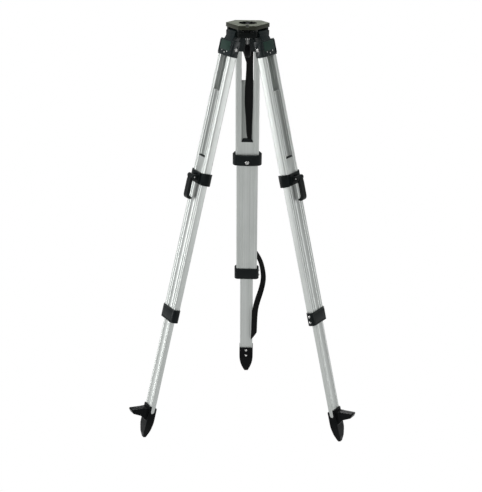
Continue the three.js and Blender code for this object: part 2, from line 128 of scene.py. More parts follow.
def moved(mesh, matrix):
    mesh.transform(matrix)
    return mesh


def block(size, centre):
    bm = bmesh.new()
    bmesh.ops.create_cube(bm, size=1.0)
    bmesh.ops.scale(bm, vec=size, verts=bm.verts)
    bmesh.ops.translate(bm, vec=centre, verts=bm.verts)
    return as_mesh(bm, "block")


def lathe(profile, segments=48):
    """A body of revolution about z from (radius, height) pairs, closed where it meets the axis."""
    bm = bmesh.new()
    rings = []
    for radius, height in profile:
        if radius < 1e-7:
            rings.append([bm.verts.new((0, 0, height))])
            continue
        ring = []
        for i in range(segments):
            turn = 2 * math.pi * i / segments
            ring.append(bm.verts.new((radius * math.cos(turn), radius * math.sin(turn), height)))
        rings.append(ring)
    for lower, upper in zip(rings, rings[1:]):
        for i in range(segments):
            k = (i + 1) % segments
            corners = [lower[i % len(lower)], lower[k % len(lower)]]
            corners += [upper[k % len(upper)], upper[i % len(upper)]]
            unique = list(dict.fromkeys(corners))
            if len(unique) > 2:
                bm.faces.new(unique)
    return as_mesh(bm, "lathe")


def cylinder(radius, length, centre, axis="z", segments=48):
    mesh = lathe([(0, -length / 2), (radius, -length / 2), (radius, length / 2), (0, length / 2)], segments)
    quarter = math.pi / 2
    turn = {"x": Matrix.Rotation(quarter, 4, "Y"), "y": Matrix.Rotation(quarter, 4, "X"), "z": Matrix()}
    return moved(mesh, Matrix.Translation(centre) @ turn[axis])


def hexagon(radius):
    return [(radius * math.cos(math.pi / 3 * i), radius * math.sin(math.pi / 3 * i)) for i in range(6)]


def prism(outline, low, high):
    """A plan outline raised from z = low to z = high."""
    bm = bmesh.new()
    base = [bm.verts.new((x, y, low)) for x, y in outline]
    top = [bm.verts.new((x, y, high)) for x, y in outline]
    bm.faces.new(list(reversed(base)))
    bm.faces.new(top)
    for i in range(len(base)):
        k = (i + 1) % len(base)
        bm.faces.new((base[i], base[k], top[k], top[i]))
    return as_mesh(bm, "prism")


def rounded_rectangle(w, d, r, steps=8):
    outline = []
    for quarter, (sx, sy) in enumerate(((1, 1), (-1, 1), (-1, -1), (1, -1))):
        for i in range(steps + 1):
            turn = math.pi / 2 * (quarter + i / steps)
            x = sx * (w / 2 - r) + r * math.cos(turn)
            y = sy * (d / 2 - r) + r * math.sin(turn)
            outline.append((x, y))
    return outline


def evaluated(obj):
    """The object's mesh with its modifiers applied, and the object removed."""
    graph = bpy.context.evaluated_depsgraph_get()
    mesh = bpy.data.meshes.new_from_object(obj.evaluated_get(graph))
    bpy.data.objects.remove(obj)
    return mesh


def scratch_object(mesh):
    obj = bpy.data.objects.new("scratch", mesh)
    bpy.context.scene.collection.objects.link(obj)
    return obj


def boolean(mesh, tool, operation="DIFFERENCE"):
    target = scratch_object(mesh)
    other = scratch_object(tool)
    modifier = target.modifiers.new("boolean", "BOOLEAN")
    modifier.operation = operation
    modifier.solver = "EXACT"
    modifier.object = other
    result = evaluated(target)
    bpy.data.objects.remove(other)
    return result


def bevelled(mesh, width, segments=3, angle=32):
    obj = scratch_object(mesh)
    bevel = obj.modifiers.new("bevel", "BEVEL")
    bevel.width = width
    bevel.segments = segments
    bevel.limit_method = "ANGLE"
    bevel.angle_limit = math.radians(angle)
    return evaluated(obj)


def smooth_by_angle(obj, degrees=35):
    """Shades the surface smooth except over edges sharper than the angle, as a modifier."""
    name = f"smooth_by_angle_{degrees}"
    group = bpy.data.node_groups.get(name)
    if group is None:
        group = bpy.data.node_groups.new(name, "GeometryNodeTree")
        group.interface.new_socket("Geometry", in_out="INPUT", socket_type="NodeSocketGeometry")
        group.interface.new_socket("Geometry", in_out="OUTPUT", socket_type="NodeSocketGeometry")
        nodes, links = group.nodes, group.links
        source = nodes.new("NodeGroupInput")
        result = nodes.new("NodeGroupOutput")
        faces = nodes.new("GeometryNodeSetShadeSmooth")
        edges = nodes.new("GeometryNodeSetShadeSmooth")
        edges.domain = "EDGE"
        angle = nodes.new("GeometryNodeInputMeshEdgeAngle")
        sharp = nodes.new("FunctionNodeCompare")
        sharp.data_type = "FLOAT"
        sharp.operation = "GREATER_THAN"
        sharp.inputs[1].default_value = math.radians(degrees)
        edges.inputs["Shade Smooth"].default_value = False
        links.new(source.outputs[0], faces.inputs["Geometry"])
        links.new(faces.outputs[0], edges.inputs["Geometry"])
        links.new(angle.outputs["Unsigned Angle"], sharp.inputs[0])
        links.new(sharp.outputs["Result"], edges.inputs["Selection"])
        links.new(edges.outputs[0], result.inputs[0])
    modifier = obj.modifiers.new("smooth_by_angle", "NODES")
    modifier.node_group = group


# ------------------------------------------------------------------ pieces

def piece(name, mesh, material, body, stands_for=(), matrix=None, smooth=35):
    """Adds a mesh as a piece of the object, riding on a body."""
    mesh = mesh.copy()
    mesh.name = name
    mesh.materials.clear()
    mesh.materials.append(material)
    obj = bpy.data.objects.new(name, mesh)
    bpy.context.scene.collection.objects.link(obj)
    if matrix is not None:
        obj.matrix_world = matrix
    smooth_by_angle(obj, smooth)
    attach(obj, body)
    if stands_for:
        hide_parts(*stands_for)
    return obj


def on_each_leg(name, mesh, material, body, stands_for=None, smooth=35):
    """The same piece on all three legs; body and stands_for are names without the leg's side."""
    for side in SIDES:
        nodes = [f"{side}_{node}" for node in (stands_for or [])]
        piece(f"{side}_{name}", mesh, material, f"{side}_{body}", nodes, LEG[side], smooth)


# ------------------------------------------------------------------ materials

class Recipe:
    """A material's node tree, with short ways to add and link nodes."""

    def __init__(self, name):
        self.material = bpy.data.materials.new(name)
        self.material.use_nodes = True
        self.nodes = self.material.node_tree.nodes
        self.links = self.material.node_tree.links
        self.shader = self.nodes["Principled BSDF"]

    def add(self, kind, **settings):
        node = self.nodes.new(kind)
        for key, value in settings.items():
            if hasattr(node, key):
                setattr(node, key, value)
            else:
                node.inputs[key.replace("_", " ").title()].default_value = value
        return node

    def link(self, source, target):
        self.links.new(source, target)

    def coordinates(self, scale=(1, 1, 1)):
        """The piece's own coordinates, which on a leg run along the leg, stretched by a scale."""
        source = self.add("ShaderNodeTexCoord")
        stretch = self.add("ShaderNodeMapping")
        stretch.inputs["Scale"].default_value = scale
        self.link(source.outputs["Object"], stretch.inputs["Vector"])
        return stretch.outputs["Vector"]

    def noise(self, vector, scale, detail=3.0, roughness=0.55):
        node = self.add("ShaderNodeTexNoise")
        node.inputs["Scale"].default_value = scale
        node.inputs["Detail"].default_value = detail
        node.inputs["Roughness"].default_value = roughness
        self.link(vector, node.inputs["Vector"])
        return node.outputs["Fac"]

    def span(self, value, low, high, source_low=0.3, source_high=0.7):
        node = self.add("ShaderNodeMapRange")
        node.inputs["From Min"].default_value = source_low
        node.inputs["From Max"].default_value = source_high
        node.inputs["To Min"].default_value = low
        node.inputs["To Max"].default_value = high
        self.link(value, node.inputs["Value"])
        return node.outputs["Result"]

    def maths(self, operation, a, b=None):
        node = self.add("ShaderNodeMath")
        node.operation = operation
        for socket, value in zip(node.inputs, (a, b)):
            if value is None:
                continue
            if isinstance(value, (int, float)):
                socket.default_value = value
            else:
                self.link(value, socket)
        return node.outputs[0]

    def blend(self, factor, a, b):
        """A colour between a and b, which are colours or sockets."""
        node = self.add("ShaderNodeMix")
        node.data_type = "RGBA"
        if isinstance(factor, float):
            node.inputs["Factor"].default_value = factor
        else:
            self.link(factor, node.inputs["Factor"])
        for key, value in ((6, a), (7, b)):
            if isinstance(value, tuple):
                node.inputs[key].default_value = (*value, 1)
            else:
                self.link(value, node.inputs[key])
        return node.outputs[2]

    def edge_mask(self, radius, low=0.02, high=0.25):
        """1 on outside edges, 0 on flats: how far a rounded normal leans from the true one; the materials use
        it for edge wear, and the moulded plastic for a painted highlight.
        """
        bevel = self.add("ShaderNodeBevel")
        bevel.samples = 4
        bevel.inputs["Radius"].default_value = radius
        geometry = self.add("ShaderNodeNewGeometry")
        dot = self.add("ShaderNodeVectorMath")
        dot.operation = "DOT_PRODUCT"
        self.link(bevel.outputs[0], dot.inputs[0])
        self.link(geometry.outputs["Normal"], dot.inputs[1])
        lean = self.maths("SUBTRACT", 1.0, dot.outputs["Value"])
        return self.span(lean, 0.0, 1.0, low, high)

    def bump(self, height, distance, strength=1.0):
        node = self.add("ShaderNodeBump")
        node.inputs["Strength"].default_value = strength
        node.inputs["Distance"].default_value = distance
        self.link(height, node.inputs["Height"])
        self.link(node.outputs[0], self.shader.inputs["Normal"])

    def surface(self, color, roughness, metallic=0.0, specular=0.5, coat=0.0, sheen=0.0, shine=1.0):
        for key, value in (("Base Color", color), ("Roughness", roughness), ("Metallic", metallic)):
            socket = self.shader.inputs[key]
            if isinstance(value, tuple):
                socket.default_value = (*value, 1)
            elif isinstance(value, (int, float)):
                socket.default_value = value
            else:
                self.link(value, socket)
        self.shader.inputs["Specular IOR Level"].default_value = specular
        self.shader.inputs["Specular Tint"].default_value = (shine, shine, shine, 1)
        self.shader.inputs["Coat Weight"].default_value = coat
        self.shader.inputs["Coat Roughness"].default_value = 0.12
        self.shader.inputs["Sheen Weight"].default_value = sheen
        return self.material


def anodised_aluminium(name, shade_band=None):
    """Satin anodised extrusion: fine die lines along the leg, faint blotches and bright rubbed edges.

    The second argument is (half width, lower end z): a band of painted shade down the middle of the tube,
    where the window's walls shade it, darkest towards one side.
    """
    recipe = Recipe(name)
    lines = recipe.noise(recipe.coordinates((1400, 1400, 3)), 1.0, 2.0)
    streaks = recipe.noise(recipe.coordinates((160, 160, 1.5)), 1.0, 3.0)
    blotch = recipe.noise(recipe.coordinates((1, 1, 0.4)), 22.0, 4.0)
    base = recipe.blend(recipe.span(streaks, 0.0, 1.0), (0.545, 0.575, 0.555), (0.65, 0.67, 0.655))
    base = recipe.blend(recipe.span(blotch, 0.0, 0.35), base, (0.71, 0.73, 0.72))
    # Painted shade: a dark band where the tube shows through the window, darkest towards one side
    if shade_band:
        half, low = shade_band
        place = recipe.add("ShaderNodeSeparateXYZ")
        recipe.link(recipe.coordinates(), place.inputs[0])
        inside = recipe.span(recipe.maths("ABSOLUTE", place.outputs["X"]), 1.0, 0.0, half - 1.5 * MM, half)
        above = recipe.span(place.outputs["Z"], 0.0, 1.0, low - 20 * MM, low)
        lean = recipe.span(place.outputs["X"], 0.95, 0.45, -half, half)
        painted_shade = recipe.maths("MULTIPLY", recipe.maths("MULTIPLY", inside, above), lean)
        base = recipe.blend(painted_shade, base, (0.26, 0.275, 0.265))
    edge_wear_and_highlight = recipe.edge_mask(0.8 * MM)
    base = recipe.blend(recipe.maths("MULTIPLY", edge_wear_and_highlight, 0.5), base, (0.92, 0.93, 0.92))
    rough = recipe.maths("ADD", recipe.span(lines, 0.38, 0.50), recipe.span(blotch, -0.03, 0.05))
    recipe.bump(lines, 0.02 * MM, 0.2)
    return recipe.surface(base, rough, metallic=0.85, specular=0.5)


def moulded_plastic(name, tint, grain=900.0):
    """Glass-filled nylon: fine spark-eroded grain, its outside edges lightened as a painted highlight."""
    recipe = Recipe(name)
    vector = recipe.coordinates()
    fine = recipe.noise(vector, grain, 2.0)
    wide = recipe.noise(vector, 45.0, 4.0)
    edge_wear_and_highlight = recipe.edge_mask(0.9 * MM)
    lighter = tuple(2.0 * c + 0.003 for c in tint)
    base = recipe.blend(recipe.span(wide, 0.0, 0.6), tint, lighter)
    # Painted highlight: outside edges lightened towards grey
    base = recipe.blend(recipe.maths("MULTIPLY", edge_wear_and_highlight, 0.5), base, (0.055, 0.062, 0.062))
    rough = recipe.maths("ADD", recipe.span(wide, 0.30, 0.42), recipe.span(fine, -0.04, 0.04))
    recipe.bump(fine, 0.05 * MM, 0.4)
    return recipe.surface(base, rough, specular=0.3, shine=0.5)


def painted_casting(name, tint, gloss=0.4, worn_metal=(0.32, 0.33, 0.32)):
    """Stove enamel over a casting: orange peel, paler patches of dust and metal showing at rubbed corners."""
    recipe = Recipe(name)
    vector = recipe.coordinates()
    peel = recipe.noise(vector, 420.0, 2.0)
    wide = recipe.noise(vector, 30.0, 5.0)
    chips = recipe.noise(vector, 160.0, 6.0, 0.7)
    edge = recipe.edge_mask(1.2 * MM, 0.05, 0.35)
    edge_wear_and_highlight = recipe.maths("MULTIPLY", edge, recipe.span(chips, 0.0, 1.0, 0.5, 0.62))
    lighter = tuple(1.8 * c + 0.002 for c in tint)
    base = recipe.blend(recipe.span(wide, 0.0, 0.6), tint, lighter)
    base = recipe.blend(recipe.maths("MULTIPLY", edge_wear_and_highlight, 0.7), base, worn_metal)
    rough = recipe.maths("ADD", recipe.span(wide, 0.24, 0.36), recipe.maths("MULTIPLY", edge_wear_and_highlight, 0.12))
    recipe.bump(peel, 0.10 * MM, 0.35)
    return recipe.surface(base, rough, specular=gloss, coat=0.125 * gloss, shine=0.5)


def machined_head(name):
    """Enamelled head plate, its top turned flat: faint rings from the tool and rubbed, brighter rims."""
    recipe = Recipe(name)
    vector = recipe.coordinates()
    flat = recipe.add("ShaderNodeVectorMath")
    flat.operation = "MULTIPLY"
    flat.inputs[1].default_value = (1, 1, 0)
    recipe.link(vector, flat.inputs[0])
    radius = recipe.add("ShaderNodeVectorMath")
    radius.operation = "LENGTH"
    recipe.link(flat.outputs[0], radius.inputs[0])
    rings = recipe.maths("SINE", recipe.maths("MULTIPLY", radius.outputs["Value"], 9000.0))
    wide = recipe.noise(vector, 28.0, 5.0)
    edge = recipe.edge_mask(1.4 * MM, 0.03, 0.3)
    base = recipe.blend(recipe.span(wide, 0.0, 1.0), (0.20, 0.217, 0.172), (0.32, 0.34, 0.275))
    base = recipe.blend(recipe.maths("MULTIPLY", edge, 0.7), base, (0.62, 0.62, 0.58))
    rough = recipe.span(wide, 0.34, 0.48)
    recipe.bump(rings, 0.02 * MM, 0.35)
    return recipe.surface(base, rough, metallic=0.55, specular=0.5)


def plated_steel(name, tint=(0.72, 0.72, 0.71), rough=(0.18, 0.34)):
    recipe = Recipe(name)
    vector = recipe.coordinates()
    fine = recipe.noise(vector, 700.0, 3.0)
    wide = recipe.noise(vector, 120.0, 4.0)
    darker = tuple(0.7 * c for c in tint)
    base = recipe.blend(recipe.span(wide, 0.0, 1.0), darker, tint)
    recipe.bump(fine, 0.03 * MM, 0.5)
    return recipe.surface(base, recipe.span(wide, *rough), metallic=1.0)


def webbing(name):
    """Woven nylon: raised warp cords along the strap, crossed by picks that step from cord to cord."""
    recipe = Recipe(name)
    uv = recipe.add("ShaderNodeUVMap")
    split = recipe.add("ShaderNodeSeparateXYZ")
    recipe.link(uv.outputs[0], split.inputs[0])
    along, across = split.outputs["X"], split.outputs["Y"]
    cords = recipe.maths("ABSOLUTE", recipe.maths("SINE", recipe.maths("MULTIPLY", across, 1900.0)))
    cord_number = recipe.maths("FLOOR", recipe.maths("MULTIPLY", across, 1900.0 / math.pi))
    step = recipe.maths("MULTIPLY", cord_number, 0.8)
    picks = recipe.maths("SINE", recipe.maths("ADD", recipe.maths("MULTIPLY", along, 4200.0), step))
    weave = recipe.maths("ADD", cords, recipe.maths("MULTIPLY", picks, 0.45))
    wide = recipe.noise(recipe.coordinates(), 60.0, 4.0)
    # Painted shade: the hollows of the weave darker than the tops of its cords
    thread = recipe.span(weave, 0.0, 1.0, 0.0, 1.3)
    base = recipe.blend(thread, (0.0012, 0.0013, 0.0014), (0.0045, 0.005, 0.0055))
    base = recipe.blend(recipe.span(wide, 0.0, 0.3), base, (0.009, 0.0095, 0.0095))
    recipe.bump(weave, 0.25 * MM, 0.8)
    return recipe.surface(base, recipe.span(wide, 0.62, 0.8), specular=0.2, sheen=0.05, shine=0.4)


# ------------------------------------------------------------------ palette

ALUMINIUM = anodised_aluminium("anodised_aluminium")
# The middle sections carry a band of painted shade where they show through the window
SHADED_SLIDING_ALUMINIUM = anodised_aluminium("shaded_sliding_aluminium", (19 * MM, leg_box("rear_clamp_collar")[1].z))
SHOULDER_BLACK = painted_casting("shoulder_enamel", (0.0045, 0.0085, 0.0095))
FOOT_BLACK = painted_casting("foot_enamel", (0.003, 0.0035, 0.004), 0.12)
COLLAR_BLACK = moulded_plastic("collar_nylon", (0.003, 0.005, 0.0055))
LEVER_BLACK = moulded_plastic("lever_nylon", (0.003, 0.0042, 0.0045), 600.0)
KNOB_BLACK = moulded_plastic("knob_nylon", (0.003, 0.003, 0.0045))
HEAD_METAL = machined_head("head_enamel")
# The plate's sides: dark olive enamel, the top's olive darkened partly as painted shade
HEAD_RIM_ENAMEL_AND_SHADE = painted_casting("head_rim_enamel_and_shade", (0.024, 0.026, 0.017))
HEAD_BLACK = painted_casting("head_black_enamel", (0.003, 0.004, 0.004), 0.2)
PANEL_GREEN = painted_casting("panel_enamel", (0.010, 0.028, 0.021))
STEEL = plated_steel("zinc_plate")
DARK_STEEL = plated_steel("blued_steel", (0.05, 0.05, 0.055), (0.25, 0.4))
RIVET = plated_steel("bright_rivet", (0.86, 0.86, 0.84), (0.2, 0.36))
WEBBING = webbing("nylon_webbing")


# ------------------------------------------------------------------ building from the CAD's own faces

def cad_solid(node, inverse=None):
    """A CAD node's closed mesh without its triangulation seams, in the rear leg's frame or as it stands."""
    bm = bmesh.new()
    bm.from_mesh(frame["nodes"][node].data)
    bmesh.ops.remove_doubles(bm, verts=bm.verts, dist=1e-6)
    bmesh.ops.dissolve_limit(bm, angle_limit=math.radians(0.6), verts=bm.verts, edges=bm.edges)
    if inverse is not None:
        bmesh.ops.transform(bm, matrix=inverse, verts=bm.verts)
    return as_mesh(bm, node)


def leg_solid(node):
    return cad_solid(f"rear_{node}", LEG["rear"].inverted())


def cast_surface(mesh, voxel, passes, keep):
    """The mesh as a casting: edges and inside corners rounded over, thinned to a share of its faces."""
    obj = scratch_object(mesh)
    remesh = obj.modifiers.new("remesh", "REMESH")
    remesh.mode = "VOXEL"
    remesh.voxel_size = voxel
    smooth = obj.modifiers.new("smooth", "SMOOTH")
    smooth.factor = 0.5
    smooth.iterations = passes
    thin = obj.modifiers.new("thin", "DECIMATE")
    thin.ratio = keep
    return evaluated(obj)


# ------------------------------------------------------------------ screws, pins and rivets

def dome(radius, height, steps=7):
    """Profile points of a dome that stands on z = 0, from its rim up to the axis."""
    points = [(radius * 0.95, 0.0), (radius, height * 0.12), (radius, height * 0.3)]
    for i in range(1, steps + 1):
        turn = math.pi / 2 * i / steps
        points.append((radius * math.cos(turn), height * (0.3 + 0.7 * math.sin(turn))))
    points[-1] = (0.0, height)
    return points


def drive_recess(kind, radius, height):
    """The tool that cuts a screw head's drive: a cross, a hexagon or a slot."""
    depth = height * 0.75
    centre = (0, 0, height - depth / 2 + height * 0.1)
    if kind == "hex":
        return prism(hexagon(radius * 0.5), height - depth, height + MM)
    long, thin = radius * 1.15, radius * 0.22
    bar = block((long, thin, depth * 1.2), centre)
    if kind == "slot":
        return block((radius * 2.2, radius * 0.2, depth * 0.9), (0, 0, height))
    return boolean(bar, block((thin, long, depth * 1.2), centre), "UNION")


def screw_mesh(radius, height, shank_radius, shank_length, drive=None):
    """A screw or rivet along +z whose head stands on z = 0."""
    shank = [(0, -shank_length), (shank_radius * 0.8, -shank_length), (shank_radius, -shank_length * 0.9)]
    mesh = lathe(shank + [(shank_radius, 0)] + dome(radius, height), 40)
    if drive:
        mesh = boolean(mesh, drive_recess(drive, radius, height))
    return mesh


def facing(axis, sign, place):
    """Turns +z onto a signed axis and moves the origin to a place."""
    toward = Vector([sign if name == axis else 0 for name in "xyz"])
    return Matrix.Translation(place) @ toward.to_track_quat("Z", "Y").to_matrix().to_4x4()


def seated(node, axis, sign, height, **screw):
    """A screw whose head's top touches the end of a CAD node's box."""
    low, high = leg_box(f"rear_{node}")
    place = (low + high) / 2
    index = "xyz".index(axis)
    place[index] = (high if sign > 0 else low)[index] - sign * height
    return moved(screw_mesh(height=height, **screw), facing(axis, sign, place))


def add_fasteners():
    dome_head = dict(radius=6.5 * MM, shank_radius=2.4 * MM, shank_length=5 * MM, drive="cross")
    lock_head = dict(radius=4 * MM, shank_radius=1.8 * MM, shank_length=2.6 * MM, drive="hex")
    rivet_head = dict(radius=4 * MM, shank_radius=2 * MM, shank_length=4 * MM)
    bolt_head = dict(radius=5.2 * MM, shank_radius=3 * MM, shank_length=20 * MM, drive="hex")
    clamp = seated("clamp_screw", "y", -1, 4.0 * MM, **dome_head)
    clamp = moved(clamp, Matrix.Translation((0, -CLAMP_CROWN, 0)))
    on_each_leg("clamp_screw_head", clamp, STEEL, "upper", ["clamp_screw"])
    for row in ("upper", "lower"):
        node = f"collar_screw_{row}"
        lock = seated(node, "x", 1, 2.4 * MM, **lock_head)
        on_each_leg(f"{node}_head", lock, STEEL, "middle", [node])
        node = f"foot_rivet_{row}"
        rivet = seated(node, "y", -1, 2.2 * MM, **rivet_head)
        on_each_leg(f"{node}_head", rivet, RIVET, "lower", [node])
    ends = [seated("shoulder_bolt", "x", sign, 3.0 * MM, **bolt_head) for sign in (1, -1)]
    low, high = leg_box("rear_shoulder_bolt")
    rod = cylinder(2.9 * MM, (high - low).x - 12 * MM, middle((low, high)), "x")
    on_each_leg("shoulder_bolt_rod", joined(rod, *ends), STEEL, "upper", ["shoulder_bolt"])


def pin(radius, length, centre, chamfer, socket=0.0):
    half = length / 2
    profile = [(0, -half), (radius - chamfer, -half), (radius, -half + chamfer)]
    profile += [(radius, half - chamfer), (radius - chamfer, half), (0, half)]
    mesh = lathe(profile, 40)
    if socket:
        for end in (-1, 1):
            mesh = boolean(mesh, prism(hexagon(socket), end * half - 3 * MM, end * half + 3 * MM))
    return moved(mesh, Matrix.Translation(centre) @ Matrix.Rotation(math.pi / 2, 4, "Y"))


def add_pins():
    low, high = leg_box("rear_hinge_bolt")
    bolt = pin((high - low).z / 2, (high - low).x, middle((low, high)), 0.6 * MM, 2 * MM)
    for side in SIDES:
        node = f"{side}_hinge_bolt"
        piece(f"{node}_rod", bolt, DARK_STEEL, "head", [node], LEG[side])
    low, high = leg_box("rear_lever_pin")
    rod = pin((high - low).z / 2, (high - low).x, middle((low, high)), 0.5 * MM)
    on_each_leg("lever_pin_rod", rod, STEEL, "upper", ["lever_pin"])


# ------------------------------------------------------------------ leg tubes

def grooved_outline(w, d, r, grooves, groove_w=1.3 * MM, groove_d=0.45 * MM):
    """A rounded rectangle with V grooves in both long faces at the given x positions."""
    outline = rounded_rectangle(w, d, r)
    quarter = len(outline) // 4
    top, left, bottom, right = (outline[i * quarter:(i + 1) * quarter] for i in (0, 1, 2, 3))

    def face(sign):
        points = []
        for x in sorted(grooves, reverse=sign > 0):
            step = -sign * groove_w / 2
            points += [(x - step, sign * d / 2), (x, sign * (d / 2 - groove_d)), (x + step, sign * d / 2)]
        return points

    return top + face(1) + left + bottom + face(-1) + right


def hollow(outline, low, high, cells):
    """A tube along z with rectangular cells (width, depth, x centre, corner radius)."""
    mesh = prism(outline, low, high)
    for w, d, x, r in cells:
        cell = [(px + x, py) for px, py in rounded_rectangle(w, d, r, 4)]
        mesh = boolean(mesh, prism(cell, low - MM, high + MM))
    return mesh


def place_tube(mesh, centre):
    return moved(mesh, Matrix.Translation((centre.x, centre.y, 0)))


def add_tubes():
    low, high = leg_box("rear_upper_tube")
    w, d = (high - low).x, (high - low).y
    wall = 1.2 * MM
    outline = grooved_outline(w, d, 4.5 * MM, [side * x * MM for side in (-1, 1) for x in (22.5, 31)])
    upper = hollow(outline, low.z, high.z, [(w - 2 * wall, d - 2 * wall, 0, 3.3 * MM)])
    window_low, window_high = WINDOW
    opening = [(x, y) for x, y in rounded_rectangle(38 * MM, window_high - window_low, 2.5 * MM, 5)]
    cutter = moved(prism(opening, -40 * MM, 40 * MM), Matrix.Rotation(math.pi / 2, 4, "X"))
    upper = boolean(upper, moved(cutter, Matrix.Translation((0, 0, (window_low + window_high) / 2))))
    upper = place_tube(upper, middle((low, high)))
    bolt_low, bolt_high = leg_box("rear_shoulder_bolt")
    upper = boolean(upper, cylinder(3.3 * MM, 0.2, middle((bolt_low, bolt_high)), "x"))
    shoe_low, shoe_high = leg_box("rear_brake_shoe")
    shoe_size = shoe_high - shoe_low + Vector((0.6 * MM, 0, 0.6 * MM))
    upper = boolean(upper, block(shoe_size, middle((shoe_low, shoe_high))))
    low, high = leg_box("rear_middle_tube")
    w, d = (high - low).x, (high - low).y
    channel, web, wall = 45.4 * MM, 1.7 * MM, 1.5 * MM
    side_cell = (w - channel) / 2 - wall - web
    side_x = w / 2 - wall - side_cell / 2
    cells = [(channel, d - 2 * wall, 0, 0.4 * MM)]
    cells += [(side_cell, d - 2 * wall, sign * side_x, 1.2 * MM) for sign in (-1, 1)]
    outline = grooved_outline(w, d, 3.5 * MM, [side * x * MM for side in (-1, 1) for x in (12, 23.5)])
    centre = place_tube(hollow(outline, low.z, high.z, cells), middle((low, high)))
    plug_size = Vector((channel - 0.4 * MM, d - 2 * wall - 0.2 * MM, 8 * MM))
    plug_centre = Vector((*middle((low, high)).xy, high.z - 4.8 * MM))
    plug = bevelled(block(plug_size, plug_centre), 0.8 * MM, 2)
    on_each_leg("section_plug", plug, SHADED_SLIDING_ALUMINIUM, "middle")
    low, high = leg_box("rear_lower_tube")
    w, d = (high - low).x, (high - low).y
    wall = 1.8 * MM
    outline = grooved_outline(w, d, 3 * MM, [side * 14 * MM for side in (-1, 1)])
    lower = hollow(outline, low.z, high.z, [(w - 2 * wall, d - 2 * wall, 0, 1.2 * MM)])
    lower = place_tube(lower, middle((low, high)))
    sections = [("upper", upper, ALUMINIUM), ("middle", centre, SHADED_SLIDING_ALUMINIUM)]
    sections.append(("lower", lower, ALUMINIUM))
    for name, mesh, material in sections:
        on_each_leg(f"{name}_section", mesh, material, name, [f"{name}_tube"])


def window_extent():
    """Lowest and highest z of the window, from the faces of the upper tube that look along the leg."""
    mesh = leg_solid("upper_tube")
    low, high = leg_box("rear_upper_tube")
    edge, slack = 19 * MM, 0.2 * MM
    levels = sorted({round(v.co.z, 6) for v in mesh.vertices if abs(abs(v.co.x) - edge) < slack})
    inside = [z for z in levels if low.z + MM < z < high.z - MM]
    return inside[0], inside[-1]


WINDOW = window_extent()


def add_window_inserts():
    """The moulded stop at the foot of each window, one on each face of the tube."""
    tube_low, tube_high = leg_box("rear_upper_tube")
    half_bottom, half_top, thick = 18.8 * MM, 14 * MM, 2.0 * MM
    upright = Matrix.Rotation(math.pi / 2, 4, "X") @ Matrix.Translation((0, 0, -thick))
    faces = (("inner", tube_low.y - 0.8 * MM, 13 * MM, 0), ("outer", tube_high.y + 0.8 * MM, 6 * MM, math.pi))
    for face, y, tall, turn in faces:
        right = [(half_bottom, 0), (half_bottom - 1.2 * MM, 0.3 * tall), (half_top, tall - 1.5 * MM)]
        right.append((half_top - 1.5 * MM, tall))
        outline = right + [(-x, z) for x, z in reversed(right)]
        groove = prism(rounded_rectangle(20 * MM, 0.25 * tall, 0.1 * tall, 3), 0, MM)
        groove = moved(groove, Matrix.Translation((0, 0.45 * tall, 1.5 * MM)))
        stop = bevelled(boolean(prism(outline, 0, thick), groove), 0.35 * MM, 2)
        place = Matrix.Translation((0, y, WINDOW[0])) @ Matrix.Rotation(turn, 4, "Z")
        stop = moved(stop, place @ upright)
        on_each_leg(f"window_stop_{face}", stop, COLLAR_BLACK, "upper")


# ------------------------------------------------------------------ castings and mouldings

CLAMP_CROWN = 4.5 * MM


def crowned(mesh, node, rise):
    """The mesh with its inner face bowed outward across its width; the bore behind it stays where it is."""
    low, high = leg_box(node)
    half, reach = (high - low).x / 2, 2.6 * MM
    bm = bmesh.new()
    bm.from_mesh(mesh)
    steps = 14
    for i in range(1, steps):
        x = half * (2 * i / steps - 1)
        everything = bm.verts[:] + bm.edges[:] + bm.faces[:]
        bmesh.ops.bisect_plane(bm, geom=everything, plane_co=(x, 0, 0), plane_no=(1, 0, 0))
    for vert in bm.verts:
        if vert.co.y < low.y + reach or (abs(vert.co.x) > 0.84 * half and vert.co.y < low.y + 12 * MM):
            vert.co.y -= rise * max(0.0, 1 - (vert.co.x / half) ** 2)
    return as_mesh(bm, mesh.name)


def around_tube(node, radius, low, high):
    """The space a tube takes up in a moulding that holds it, between two heights."""
    box = leg_box(node)
    size = box[1] - box[0]
    outline = rounded_rectangle(size.x + 0.6 * MM, size.y + 0.6 * MM, radius)
    return place_tube(prism(outline, low, high), middle(box))


def lower_housing():
    """The lower collar: well rounded at its corners, with a lip round its mouth and holes for the screws."""
    low, high = leg_box("rear_lower_collar")
    size, centre = high - low, middle((low, high))
    lip = 5 * MM
    shell = prism(rounded_rectangle(size.x, size.y, 11 * MM, 9), low.z, high.z)
    waist = rounded_rectangle(size.x - 1.2 * MM, size.y - 1.2 * MM, 10.4 * MM, 9)
    band = prism(rounded_rectangle(size.x * 2, size.y * 2, MM, 2), 0, 1.2 * MM)
    band = boolean(band, prism(waist, -MM, 3 * MM))
    for z in (high.z - lip, low.z + lip):
        shell = boolean(shell, moved(band.copy(), Matrix.Translation((0, 0, z - 0.6 * MM))))
    shell = place_tube(bevelled(shell, 0.8 * MM, 3, 50), centre)
    seat = leg_box("rear_middle_tube")[0].z - 0.3 * MM
    shell = boolean(shell, around_tube("rear_middle_tube", 3.8 * MM, seat, high.z + MM))
    shell = boolean(shell, around_tube("rear_lower_tube", 3.3 * MM, low.z - MM, high.z))
    for row in ("upper", "lower"):
        screw = middle(leg_box(f"rear_collar_screw_{row}"))
        shell = boolean(shell, cylinder(2.1 * MM, 12 * MM, screw, "x"))
    return shell


